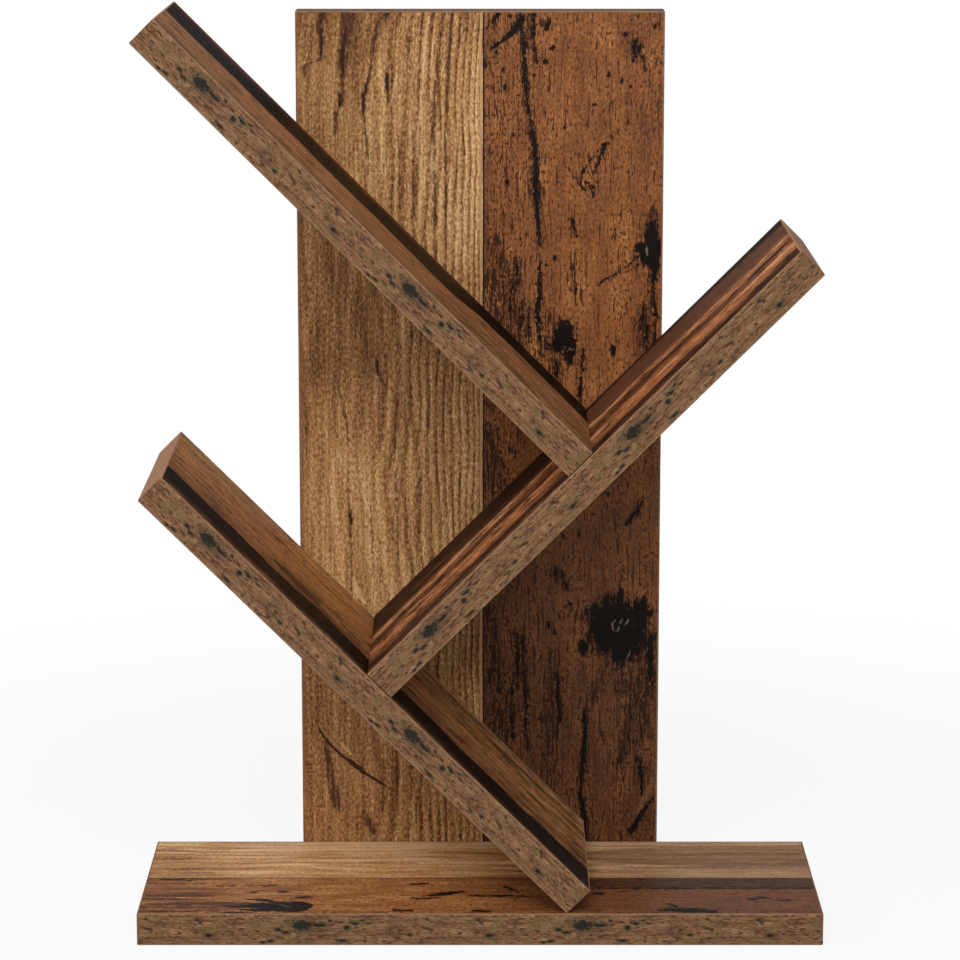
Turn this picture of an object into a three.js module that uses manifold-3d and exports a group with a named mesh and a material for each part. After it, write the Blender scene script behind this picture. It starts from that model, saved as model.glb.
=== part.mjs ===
// A desktop bookshelf in the shape of a tree. An upright back panel is the trunk, and three sloping
// boards are the branches: the lowest stands on a flat base by one edge, and each of the others stands
// square on the one below. Screws through the back of the panel hold the base and the branches, and
// dowels hold the branches' feet.
// Millimetres, +Z up. The front faces -Y, and the origin is on the floor under the shelf's middle.

import * as THREE from "three";
import { mergeVertices } from "three/addons/utils/BufferGeometryUtils.js";
import Module from "manifold-3d";

const wasm = await Module();
wasm.setup();

// Boards
const board = 15; // thickness of every board
const baseWidth = 310;
const shelfDepth = 110; // front to back of the base and the branches, in front of the panel
const panelWidth = 170;
const panelHeight = 412;
const branchLength = 269;
const leftSlopeDegrees = 45; // rise of the two left branches; the right branch is square to them
const footOffset = 39.25; // lowest edge of the lowest branch, right of the middle
const meetingShare = 0.5; // middle of a branch's foot, along the branch that it stands on

// Edge strips and the gaps between pieces
const strip = 0.8; // thickness of the strips round the boards' edges
const glue = 0.3; // from a strip to its board
const seat = 0.3; // between two boards that meet
const clearance = 0.3; // round a screw or a dowel in its hole

// Screws
const screwLength = 50; // with the head
const screwInset = 15.5; // middle of an outer screw, from the panel's side
const screwFromFoot = 40; // middle of a branch's inner screw, from the branch's foot
const shankRadius = 3.15;
const shankLength = 12; // plain part under the head
const threadRadius = 3.15; // crest of the thread
const threadRoot = 2.3;
const threadPitch = 3;
const tipRadius = 1.4;
const tipLength = 3;
const headRadius = 4.8;
const headRim = 0.8; // straight edge of the head, over its cone
const headSink = 0.4; // the head's flat top, under the panel's back
const socketWidth = 4; // across the flats of the six-sided socket
const socketDepth = 2;

// Dowels
const dowelRadius = 3;
const dowelLength = 30;
const dowelFloor = 5; // board left under a dowel's hole in a branch's top
const fluteDepth = 0.25;
const dowelChamfer = 0.8;
const dowelDepthShares = [0.18, 0.5]; // of shelfDepth, from the front: the screws hold the back half

// Counts and tolerances
const roundSides = 12;
const socketSides = 6;
const flutes = 12;
const overrun = 1; // how far a cutting shape passes the face that it cuts
const weld = 0.001; // vertices closer than this are one

// Places that follow from the sizes
const front = -(shelfDepth + board) / 2;
const panelFront = front + shelfDepth;
const panelBack = panelFront + board;
const back = panelFront - seat; // back edge of the base and of the branches
const cover = strip + glue; // from a board's finished edge to its core
const leftSlope = THREE.MathUtils.degToRad(leftSlopeDegrees);
const rightSlope = Math.PI / 2 - leftSlope;

const laminate = new THREE.MeshStandardMaterial({ color: 0x7d5433, roughness: 0.5, metalness: 0 });
const edging = new THREE.MeshStandardMaterial({ color: 0x83624a, roughness: 0.45, metalness: 0 });
const steel = new THREE.MeshStandardMaterial({ color: 0xb9bcc0, roughness: 0.35, metalness: 1 });
const beech = new THREE.MeshStandardMaterial({ color: 0xd2a878, roughness: 0.7, metalness: 0 });

// A closed geometry as a solid. A lathe's poles leave triangles with two equal corners: those go.
function solidOf(geometry) {
  const bare = geometry.clone();
  bare.deleteAttribute("normal");
  bare.deleteAttribute("uv");
  const merged = mergeVertices(bare, weld);
  const corners = merged.index.array;
  const triVerts = [];
  for (let i = 0; i < corners.length; i += 3) {
    const [a, b, c] = corners.slice(i, i + 3);
    if (a !== b && b !== c && c !== a) triVerts.push(a, b, c);
  }
  const vertProperties = merged.attributes.position.array;
  return new wasm.Manifold(
    new wasm.Mesh({ numProp: 3, vertProperties, triVerts: new Uint32Array(triVerts) }),
  );
}

// The geometry with each of the holes cut out of it.
function drilled(geometry, holes) {
  let solid = solidOf(geometry);
  for (const hole of holes) solid = solid.subtract(solidOf(hole));
  const mesh = solid.getMesh();
  const result = new THREE.BufferGeometry();
  result.setAttribute("position", new THREE.BufferAttribute(mesh.vertProperties, 3));
  result.setIndex(new THREE.BufferAttribute(mesh.triVerts, 1));
  const flat = result.toNonIndexed();
  flat.computeVertexNormals();
  return flat;
}

// A rectangular block between two opposite corners, each given as x, y, z.
function block(corner, opposite) {
  const box = new THREE.Box3().setFromPoints([
    new THREE.Vector3(...corner),
    new THREE.Vector3(...opposite),
  ]);
  const size = box.getSize(new THREE.Vector3());
  const middle = box.getCenter(new THREE.Vector3());
  return new THREE.BoxGeometry(size.x, size.y, size.z).translate(middle.x, middle.y, middle.z);
}

function piece(parent, name, geometry, material) {
  const mesh = new THREE.Mesh(geometry, material);
  mesh.name = name;
  parent.add(mesh);
  return mesh;
}

// A body of revolution about Y, from a profile of [radius, height] pairs that runs upwards.
function turned(profile) {
  const points = profile.map(([radius, height]) => new THREE.Vector2(radius, height));
  return new THREE.LatheGeometry(points, roundSides);
}

// A countersunk screw along Y. Its head's flat top is at y = 0, and its tip points to -Y.
const coneEnd = -headRim - (headRadius - shankRadius);

function screw() {
  const threadTop = coneEnd - shankLength;
  const threadBottom = tipLength - screwLength;
  const turns = Math.max(1, Math.floor((threadTop - threadBottom) / threadPitch));
  const pitch = (threadTop - threadBottom) / turns;
  const profile = [[0, -screwLength], [tipRadius, -screwLength]];
  for (let i = 0; i < turns; i++) {
    const height = threadBottom + i * pitch;
    profile.push([threadRoot, height], [threadRadius, height + pitch / 2]);
  }
  profile.push(
    [threadRoot, threadTop],
    [shankRadius, threadTop + (shankRadius - threadRoot)],
    [shankRadius, coneEnd],
    [headRadius, -headRim],
    [headRadius, 0],
    [0, 0],
  );
  const socketRadius = socketWidth / Math.sqrt(3);
  const socket = new THREE.CylinderGeometry(
    socketRadius,
    socketRadius,
    socketDepth + overrun,
    socketSides,
  ).translate(0, (overrun - socketDepth) / 2, 0);
  return drilled(turned(profile), [socket]);
}

// The hole that a screw needs, in the same place as the screw, open past the panel's back.
function screwHole() {
  const shaft = Math.max(shankRadius, threadRadius) + clearance;
  const mouth = headRadius + clearance;
  const bottom = -screwLength - clearance;
  return turned([
    [0, bottom],
    [shaft, bottom],
    [shaft, coneEnd],
    [mouth, -headRim],
    [mouth, headSink + overrun],
    [0, headSink + overrun],
  ]);
}

// A fluted dowel along X, from the origin to x = dowelLength, with chamfered ends.
function dowel() {
  const outline = [];
  for (let i = 0; i < 2 * flutes; i++) {
    const radius = i % 2 ? dowelRadius - fluteDepth : dowelRadius;
    const angle = (i * Math.PI) / flutes;
    outline.push(new THREE.Vector2(radius * Math.cos(angle), radius * Math.sin(angle)));
  }
  return new THREE.ExtrudeGeometry(new THREE.Shape(outline), {
    depth: dowelLength - 2 * dowelChamfer,
    bevelThickness: dowelChamfer,
    bevelSize: dowelChamfer,
    bevelOffset: -dowelChamfer,
    bevelSegments: 1,
  })
    .translate(0, 0, dowelChamfer)
    .rotateY(Math.PI / 2);
}

// A round hole along X from x = 0 to its depth, open past x = 0 by the overrun.
function dowelHole(depth) {
  const radius = dowelRadius + clearance;
  const length = depth + clearance + overrun;
  return new THREE.CylinderGeometry(radius, radius, length, roundSides)
    .rotateZ(Math.PI / 2)
    .translate(length / 2 - overrun, 0, 0);
}

const dowelInFace = board - dowelFloor;
const dowelInEnd = dowelLength - dowelInFace - seat;
const dowelPlaces = dowelDepthShares.map((share) => front + share * shelfDepth);

// A branch rises from its foot, the lowest corner of its lower end, to the left (side -1) or to the
// right (side 1). The inner of its two screws is near the foot, the outer one near the panel's side.
function branchFrom(name, side, foot) {
  const slope = side < 0 ? leftSlope : rightSlope;
  const along = new THREE.Vector2(side * Math.cos(slope), Math.sin(slope));
  const up = new THREE.Vector2(-side * Math.sin(slope), Math.cos(slope));
  const outerX = side * (panelWidth / 2 - screwInset);
  const outerScrew = (outerX - foot.x - (up.x * board) / 2) / along.x;
  return { name, side, slope, foot, along, up, screws: [screwFromFoot, outerScrew] };
}

// The point of the shelf's X-Z plane at a distance along a branch and a height over its underside.
function pointOn(branch, distance, height) {
  const { foot, along, up } = branch;
  return foot.clone().addScaledVector(along, distance).addScaledVector(up, height);
}

const footOn = (branch) => pointOn(branch, branchLength * meetingShare - board / 2, board);
const lowerLeft = branchFrom("lower_left_branch", -1, new THREE.Vector2(footOffset, board));
const right = branchFrom("right_branch", 1, footOn(lowerLeft));
const upperLeft = branchFrom("upper_left_branch", -1, footOn(right));
const branches = [lowerLeft, right, upperLeft];

// Where the screws pass through the panel, in its X-Z plane.
const baseScrews = [-1, 0, 1].map(
  (side) => new THREE.Vector2(side * (panelWidth / 2 - screwInset), board / 2),
);
const branchScrews = (branch) => branch.screws.map((distance) => pointOn(branch, distance, board / 2));

const screwPlane = panelBack - headSink;
const holeAt = (x, z) => screwHole().translate(x, screwPlane, z);

function addBase(parent) {
  const side = baseWidth / 2;
  const holes = baseScrews.map((at) => holeAt(at.x, at.y));
  const core = block([cover - side, front + cover, 0], [side - cover, back - cover, board]);
  piece(parent, "base_board", drilled(core, holes), laminate);
  const frontStrip = block([-side, front, 0], [side, front + strip, board]);
  piece(parent, "base_front_edge_strip", frontStrip, edging);
  const backStrip = block([-side, back - strip, 0], [side, back, board]);
  piece(parent, "base_back_edge_strip", drilled(backStrip, holes), edging);
  const leftStrip = block([-side, front + cover, 0], [strip - side, back - cover, board]);
  piece(parent, "base_left_edge_strip", leftStrip, edging);
  const rightStrip = block([side - strip, front + cover, 0], [side, back - cover, board]);
  piece(parent, "base_right_edge_strip", rightStrip, edging);
}

function addPanel(parent) {
  const side = panelWidth / 2;
  const places = [...baseScrews, ...branches.flatMap(branchScrews)];
  const holes = places.map((at) => holeAt(at.x, at.y));
  const core = block([cover - side, panelFront, 0], [side - cover, panelBack, panelHeight - cover]);
  piece(parent, "back_panel", drilled(core, holes), laminate);
  const leftStrip = block([-side, panelFront, 0], [strip - side, panelBack, panelHeight]);
  piece(parent, "panel_left_edge_strip", leftStrip, edging);
  const rightStrip = block([side - strip, panelFront, 0], [side, panelBack, panelHeight]);
  piece(parent, "panel_right_edge_strip", rightStrip, edging);
  const topStrip = block(
    [cover - side, panelFront, panelHeight - strip],
    [side - cover, panelBack, panelHeight],
  );
  piece(parent, "panel_top_edge_strip", topStrip, edging);
}

// The board and strips of one branch, in a group that is turned to the branch's slope. In it X runs
// along the branch, rising to the branch's side, Y is the shelf's own and Z is square to the board.
function addBranchPieces(parent, branch, { standsOn, carries }) {
  const { name, side } = branch;
  const group = new THREE.Group();
  group.position.set(branch.foot.x, 0, branch.foot.y);
  group.rotation.y = -side * branch.slope;
  parent.add(group);

  const footEnd = standsOn ? seat : 0;
  const coreStart = standsOn ? seat : cover;
  const screwHoles = branch.screws.map((distance) => holeAt(side * distance, board / 2));
  const facing = side < 0 ? Math.PI : 0; // turns a dowel's hole from +X to the branch's own direction
  const endHoles = dowelPlaces.map((y) =>
    dowelHole(dowelInEnd).translate(seat, 0, 0).rotateY(facing).translate(0, y, board / 2),
  );
  const faceHoles = dowelPlaces.map((y) =>
    dowelHole(dowelInFace)
      .rotateY(Math.PI / 2)
      .translate(side * branchLength * meetingShare, y, board),
  );
  const core = block(
    [side * coreStart, front + cover, 0],
    [side * (branchLength - cover), back - cover, board],
  );
  const holes = [...screwHoles, ...(standsOn ? endHoles : []), ...(carries ? faceHoles : [])];
  piece(group, name, drilled(core, holes), laminate);

  const frontStrip = block([side * footEnd, front, 0], [side * branchLength, front + strip, board]);
  piece(group, name + "_front_edge_strip", frontStrip, edging);
  const backStrip = block([side * footEnd, back - strip, 0], [side * branchLength, back, board]);
  piece(group, name + "_back_edge_strip", drilled(backStrip, screwHoles), edging);
  const tipStrip = block(
    [side * (branchLength - strip), front + cover, 0],
    [side * branchLength, back - cover, board],
  );
  piece(group, name + "_tip_edge_strip", tipStrip, edging);

  if (standsOn) {
    dowelPlaces.forEach((y, i) => {
      const pin = piece(group, name + "_dowel_" + (i + 1), dowel(), beech);
      pin.rotation.y = facing;
      pin.position.set(-side * dowelInFace, y, board / 2);
    });
  } else {
    const footStrip = block([0, front + cover, 0], [side * strip, back - cover, board]);
    piece(group, name + "_foot_edge_strip", footStrip, edging);
  }
}

function addScrews(parent, name, places) {
  places.forEach((at, i) => {
    const mesh = piece(parent, name + "_screw_" + (i + 1), screw(), steel);
    mesh.position.set(at.x, screwPlane, at.y);
  });
}

const bookshelf = new THREE.Group();
addBase(bookshelf);
addPanel(bookshelf);
addBranchPieces(bookshelf, lowerLeft, { standsOn: false, carries: true });
addBranchPieces(bookshelf, right, { standsOn: true, carries: true });
addBranchPieces(bookshelf, upperLeft, { standsOn: true, carries: false });
addScrews(bookshelf, "base", baseScrews);
for (const branch of branches) addScrews(bookshelf, branch.name, branchScrews(branch));

export default bookshelf;
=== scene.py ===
# Looks of a small tree shaped bookshelf: boards under a paper printed as old planks, printed edge
# strips, countersunk screws behind and beech dowels inside. It stands on a pale floor.
#
# Each board has axes of its own: x runs along its grain from its left or upper end, y across it,
# and z through its thickness towards the face that shows. Its pieces' objects sit at the corner
# where these start, so a material reads its place on the board, u, v and w in millimetres, from
# the Object coordinates.

import math
from functools import reduce

import bmesh
import bpy
from mathutils import Matrix, Vector


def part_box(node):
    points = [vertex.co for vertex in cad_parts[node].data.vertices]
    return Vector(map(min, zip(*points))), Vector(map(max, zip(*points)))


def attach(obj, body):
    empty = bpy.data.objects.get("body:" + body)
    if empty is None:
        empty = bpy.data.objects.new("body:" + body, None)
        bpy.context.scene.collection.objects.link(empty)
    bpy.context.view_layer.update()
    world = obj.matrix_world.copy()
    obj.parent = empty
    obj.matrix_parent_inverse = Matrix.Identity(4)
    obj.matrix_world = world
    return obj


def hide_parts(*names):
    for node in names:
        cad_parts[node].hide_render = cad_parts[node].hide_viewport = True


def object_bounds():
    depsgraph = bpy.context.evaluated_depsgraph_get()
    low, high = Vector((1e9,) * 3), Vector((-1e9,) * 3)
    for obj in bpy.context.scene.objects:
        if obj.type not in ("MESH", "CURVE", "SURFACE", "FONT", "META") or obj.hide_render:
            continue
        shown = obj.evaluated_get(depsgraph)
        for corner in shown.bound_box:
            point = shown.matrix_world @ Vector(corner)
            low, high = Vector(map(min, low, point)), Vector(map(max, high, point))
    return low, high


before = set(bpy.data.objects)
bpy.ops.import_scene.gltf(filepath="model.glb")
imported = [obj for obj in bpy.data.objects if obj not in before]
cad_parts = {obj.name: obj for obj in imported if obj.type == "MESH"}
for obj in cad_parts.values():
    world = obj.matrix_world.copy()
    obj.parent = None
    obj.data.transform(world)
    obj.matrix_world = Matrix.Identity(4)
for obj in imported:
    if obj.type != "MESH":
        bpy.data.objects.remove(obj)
cad_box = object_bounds()

MM = 0.001

# The axes of the boards, as the columns of a matrix.
SLOPE = math.radians(45)
FLAT = Matrix.Identity(3)
FALLING = Matrix.Rotation(SLOPE, 3, "Y")
RISING = Matrix.Rotation(-SLOPE, 3, "Y")
UPRIGHT = Matrix(((0, 1, 0), (0, 0, -1), (-1, 0, 0)))

# Board, start of its strips' names, axes.
BOARDS = (
    ("base_board", "base", FLAT),
    ("back_panel", "panel", UPRIGHT),
    ("lower_left_branch", "lower_left_branch", FALLING),
    ("right_branch", "right_branch", RISING),
    ("upper_left_branch", "upper_left_branch", FALLING),
)

ARRIS = 0.5 * MM          # rounding of the outer edges
ARRIS_STEPS = 3
JOINT_SHARE = 0.14        # rounding at a joint between strip and board, as a share of the arris
GLUE_MOST = 0.5 * MM      # a gap up to this is glue, and is closed
STRIP_MOST = 2 * MM       # a piece thinner than this is a strip
SAME_PLANE = 0.1 * MM     # a point that is this near to a plane lies in it

# Sizes of the boards, and the places where their print changes, in mm.
base_low, base_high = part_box("base_board")
panel_low, panel_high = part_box("panel_top_edge_strip")
THICKNESS = (base_high.z - base_low.z) / MM
PANEL_WIDTH = (panel_high.x - panel_low.x) / MM
PANEL_SEAM = 86.3         # from the panel's left edge to the seam of its two planks
BASE_SEAM = 52.4          # from the base's front edge to the seam of its two planks
DEPTH = 109.7             # from a branch's front edge to its back edge
OTHER_FACE = 1000.0       # along the print, from the face that shows to the other one
STRIP_REPEAT = 126.7      # after which the print of the edge strips starts again
BASE_STRIP_START = -40.4  # where in that print the base's strips start

# How far one seed more moves a texture along and across the board, in sizes of its grain.
SEED_ALONG = 17.31
SEED_ACROSS = 9.17


def linear(value):
    """A screen value from 0 to 255 as the linear number that Blender uses."""
    share = value / 255
    return share / 12.92 if share <= 0.04045 else ((share + 0.055) / 1.055) ** 2.4


def colour(red, green, blue):
    return (linear(red), linear(green), linear(blue), 1.0)


class Value:
    """A socket of a node tree, with arithmetic that adds Math nodes."""

    def __init__(self, graph, socket):
        self.graph = graph
        self.socket = socket

    def __add__(self, other):
        return self.graph.math("ADD", self, other)

    def __sub__(self, other):
        return self.graph.math("SUBTRACT", self, other)

    def __rsub__(self, other):
        return self.graph.math("SUBTRACT", other, self)

    def __mul__(self, other):
        return self.graph.math("MULTIPLY", self, other)

    def __truediv__(self, other):
        return self.graph.math("DIVIDE", self, other)

    def __abs__(self):
        return self.graph.math("ABSOLUTE", self)

    __radd__ = __add__
    __rmul__ = __mul__


class Graph:
    """A node tree, with short calls for the nodes that it is made of."""

    def __init__(self, owner):
        owner.use_nodes = True
        self.owner = owner
        self.nodes = owner.node_tree.nodes
        self.links = owner.node_tree.links

    def read_place(self, other_face=False):
        """Sets u, v and w in mm. On a board's other face, u is shifted to a part without marks."""
        coordinates = self.nodes.new("ShaderNodeTexCoord")
        self.place = self.vector("SCALE", Value(self, coordinates.outputs["Object"]), Scale=1 / MM)
        self.u, self.v, self.w = self.split(self.place)
        if other_face:
            self.behind = self.math("LESS_THAN", self.w, THICKNESS / 2)
            self.u = self.math("MULTIPLY_ADD", self.behind, OTHER_FACE, self.u)
            self.place = self.join(self.u, self.v)

    def put(self, value, socket):
        """Links a value to a socket, or sets a plain number, colour or vector on it."""
        if isinstance(value, Value):
            self.links.new(value.socket, socket)
        else:
            socket.default_value = value

    def math(self, operation, *values):
        node = self.nodes.new("ShaderNodeMath")
        node.operation = operation
        for value, socket in zip(values, node.inputs):
            self.put(value, socket)
        return Value(self, node.outputs[0])

    def vector(self, operation, *values, **named):
        node = self.nodes.new("ShaderNodeVectorMath")
        node.operation = operation
        for value, socket in zip(values, node.inputs):
            self.put(value, socket)
        for name, value in named.items():
            self.put(value, node.inputs[name])
        return Value(self, node.outputs["Value" if operation == "LENGTH" else "Vector"])

    def pick(self, operation, values):
        """The largest or the smallest of values that are made one at a time, as they are needed."""
        return reduce(lambda one, other: self.math(operation, one, other), values)

    def split(self, vector):
        node = self.nodes.new("ShaderNodeSeparateXYZ")
        self.put(vector, node.inputs[0])
        return [Value(self, socket) for socket in node.outputs]

    def join(self, x, y):
        node = self.nodes.new("ShaderNodeCombineXYZ")
        self.put(x, node.inputs["X"])
        self.put(y, node.inputs["Y"])
        return Value(self, node.outputs[0])

    def pattern(self, kind, place, grain, seed):
        """A flat texture, its grain being its own size along and across the board, in mm."""
        node = self.nodes.new(kind)
        scale = (1 / grain[0], 1 / grain[1], 0)
        start = (seed * SEED_ALONG, seed * SEED_ACROSS, 0)
        self.put(self.vector("MULTIPLY_ADD", place, scale, start), node.inputs["Vector"])
        node.inputs["Scale"].default_value = 1.0
        return node

    def noise(self, place, grain, seed, detail=2, roughness=0.5):
        """Soft noise around zero, mostly within a half either way, with the texture's own detail."""
        node = self.pattern("ShaderNodeTexNoise", place, grain, seed)
        node.noise_dimensions = "2D"
        node.inputs["Detail"].default_value = detail
        node.inputs["Roughness"].default_value = roughness
        return self.math("MULTIPLY_ADD", Value(self, node.outputs[0]), 2.0, -1.0)

    def cells(self, place, grain, seed):
        """Distance to the nearest of scattered points, and that point's random number."""
        node = self.pattern("ShaderNodeTexVoronoi", place, grain, seed)
        node.voronoi_dimensions = "2D"
        random = self.nodes.new("ShaderNodeSeparateColor")
        self.links.new(node.outputs["Color"], random.inputs[0])
        return Value(self, node.outputs["Distance"]), Value(self, random.outputs[0])

    def step(self, value, low, high):
        """0 at low, 1 at high, smooth between; high may be the smaller one."""
        node = self.nodes.new("ShaderNodeMapRange")
        node.interpolation_type = "SMOOTHSTEP"
        if low > high:
            value, low, high = 0 - value, -low, -high
        self.put(value, node.inputs["Value"])
        node.inputs["From Min"].default_value = low
        node.inputs["From Max"].default_value = high
        return Value(self, node.outputs[0])

    def near(self, value, middle, beyond, within):
        """1 where the value is within so much of the middle, and 0 beyond the other limit."""
        return self.step(abs(value - middle), beyond, within)

    def curve(self, share, points):
        """A smooth curve through points of (share, height), both from 0 to 1."""
        node = self.nodes.new("ShaderNodeFloatCurve")
        line = node.mapping.curves[0]
        line.points[0].location = points[0]
        line.points[1].location = points[-1]
        for point in points[1:-1]:
            line.points.new(*point)
        node.mapping.update()
        self.put(share, node.inputs["Value"])
        return Value(self, node.outputs[0])

    def ramp(self, value, stops):
        """A colour ramp through stops of (place, screen colour), the first at 0 and the last at 1."""
        node = self.nodes.new("ShaderNodeValToRGB")
        elements = node.color_ramp.elements
        for place, shade in stops[1:-1]:
            elements.new(place)
        for element, (place, shade) in zip(elements, stops):
            element.color = colour(*shade)
        self.put(value, node.inputs[0])
        return Value(self, node.outputs[0])

    def mix(self, share, below, above, blend="MIX"):
        """Puts a share of a screen colour, or of another value, over the colour below."""
        node = self.nodes.new("ShaderNodeMix")
        node.data_type = "RGBA"
        node.blend_type = blend
        self.put(share, node.inputs["Factor"])
        self.put(below, node.inputs[6])
        self.put(above if isinstance(above, Value) else colour(*above), node.inputs[7])
        return Value(self, node.outputs[2])

    def finish(self, base, roughness, height, relief, gloss=0.5):
        """Sets the surface: its colour, roughness, a height with its relief in mm, and its gloss."""
        shader = self.nodes["Principled BSDF"]
        bump = self.nodes.new("ShaderNodeBump")
        bump.inputs["Strength"].default_value = 1.0
        bump.inputs["Distance"].default_value = relief * MM
        shader.inputs["Specular IOR Level"].default_value = gloss
        self.put(height, bump.inputs["Height"])
        self.put(base, shader.inputs["Base Color"])
        self.put(roughness, shader.inputs["Roughness"])
        self.links.new(bump.outputs[0], shader.inputs["Normal"])
        return self.owner


# Marks of the print, with a few painted glints and one painted shade among them, read off the
# photograph of 960 pixels. A stroke runs along the grain through points of (x, y, half width), and a
# point without a half width is its tip. A spot is (x, y, half width, half height). Those of the panel
# and the base are in the photograph's pixels. A number in a mark's name says where it lies.

PHOTO_LEFT = 303.2        # pixel column of the panel's left edge
PHOTO_TOP = 11.0          # pixel row of the panel's top edge
PHOTO_WIDTH = 353.8       # pixels across the panel
PIXEL = PANEL_WIDTH / PHOTO_WIDTH    # mm of the panel's front to a pixel

# The base's top is seen at a slant. A pixel row y lies this far behind its front edge, in mm:
# BASE_REACH / (y + BASE_RISE) - BASE_NEAR.
BASE_REACH = 1492480.0
BASE_RISE = 229.0
BASE_NEAR = 1295.0
BASE_MIDDLE = 480.3       # pixel column of the base's middle
FRONT_PIXEL = 0.4443      # mm of the base's front edge to a pixel

STRAIGHT = 0.001          # mm that a straight stroke wanders, so that nothing is divided by zero

# The panel's light plank.
TAN_STAINS = {
    "wavy streak": ((331, 8, 4), (330, 18, 4), (327, 26, 3), (328, 35, 3), (328, 46, 2.4), (328, 54, 1.5)),
    "loop": ((330, 55, 2), (325, 59, 3.4), (318, 61, 3.4), (313, 64, 2.4), (312, 70, 2), (313, 77)),
    "purple streak": ((349, 8, 3), (351, 20, 4), (352, 35, 5), (350, 50, 5), (349, 68, 4), (348, 82, 1)),
    "purple side": ((359, 8, 4), (357, 22, 4.5), (354, 34, 3), (352, 44)),
    "purple tail": (
        (348, 80, 1), (348, 90, 3.5), (347, 100, 3), (343, 108, 2.4), (341, 122, 2), (342, 140),
    ),
    "growth line": (
        (384, 20, 1), (381, 34, 1.8), (378, 52, 1.6), (376, 70, 1.4), (371, 86, 2.6), (369, 100, 2.4),
        (370, 118, 1.4), (372, 142, 1.4), (373, 170),
    ),
    "top mark": ((396, 8, 4), (393, 16, 3), (390, 24)),
    "spindle": ((394, 64), (392, 76, 2.4), (393, 90, 2.2), (393, 102)),
    "line 438": ((441, 50), (440, 75, 1.4), (438, 105, 1.8), (438, 140, 1.4), (438, 200, 1.8), (438, 225)),
    "line 452": (
        (456, 14, 1), (453, 50, 1.6), (451, 85, 1.8), (449, 130, 1.6), (449, 200, 1.2), (449, 230),
    ),
    "line 404": ((404, 130), (403, 160, 0.9), (404, 195, 0.8), (404, 205)),
    "line 417": ((416, 110), (417, 150, 0.9), (417, 205, 1.1), (416, 215)),
    "line 382": ((380, 325, 0.5), (382, 348, 0.9), (382, 362, 1.4), (386, 380, 0.9), (386, 436)),
    "wave 346": ((342, 374), (345, 390, 0.9), (348, 404, 1), (351, 424, 1.2), (351, 440)),
    "line 398": ((399, 380), (398, 430, 0.9), (399, 478, 1.2), (400, 520, 1), (401, 570)),
    "line 431": ((430, 370), (430, 404, 0.8), (431, 415, 1.6), (430, 428)),
    "line 353": ((351, 455), (352, 495, 1), (353, 520, 1.3), (354, 548, 1.1), (354, 590)),
    "line 375": ((373, 500), (375, 540, 0.9), (376, 565, 0.8), (376, 590)),
    "brown streak": ((327, 742, 2), (330, 770, 3.5), (333, 796, 3.5), (338, 820)),
    "short streak": ((338, 790), (339, 804, 2.4), (340, 818)),
    "low patch": ((366, 815), (370, 828, 4), (374, 838, 4)),
}
TAN_CRACKS = {
    "curved crack": (
        (320, 730, 0.8), (328, 742, 1.4), (338, 753, 1.6), (350, 764, 2), (364, 775, 2.6),
        (378, 784, 2.4), (392, 793),
    ),
    "beside it": ((348, 760), (357, 767, 1.8), (366, 773)),
    "streak core": ((330, 14, 1.6), (328, 24, 0.8), (329, 44, 1.2), (328, 54)),
    "purple core": ((353, 26), (351, 40, 1.4), (349, 52, 2), (349, 68, 1.2), (348, 76)),
    "growth core": ((376, 66), (373, 78, 0.7), (370, 92, 1.4), (369, 106, 0.6), (370, 130)),
    "spindle core": ((393, 70), (392, 80, 1.2), (393, 90)),
    "top core": ((394, 8, 2), (391, 21)),
    "tail core": ((346, 90), (346, 98, 1.4), (346, 104)),
    "spot 381": ((381, 354), (381, 362, 1.6), (382, 370)),
    "spot 353": ((353, 503), (354, 511, 1.4), (354, 520)),
}
TAN_LIGHTS = {
    "beside the spindle": ((401, 72), (400, 82, 1.4), (397, 94, 1.2), (396, 100)),
    "light line 432": ((434, 10), (432, 22, 1.4), (430, 34, 1.4), (428, 60, 1.4), (427, 80)),
    "light line 426": ((427, 76), (425, 100, 1.2), (422, 130, 1.2), (421, 160)),
    "light line 435": ((436, 134), (435, 155, 1.2), (434, 170)),
    "light line 446": ((446, 116), (446, 135, 1.2), (446, 150)),
    "scratch 343": ((340, 442), (343, 451, 1.4), (347, 460)),
    "scratch 369": ((366, 488), (369, 497, 1.6), (374, 509)),
    "patch 358": ((356, 574), (358, 584, 3), (364, 596, 2.4), (370, 602)),
    "patch 386": ((385, 158), (387, 167, 1.2), (390, 174)),
    "patch 347": ((342, 744), (347, 751, 2.4), (353, 758)),
}

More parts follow.
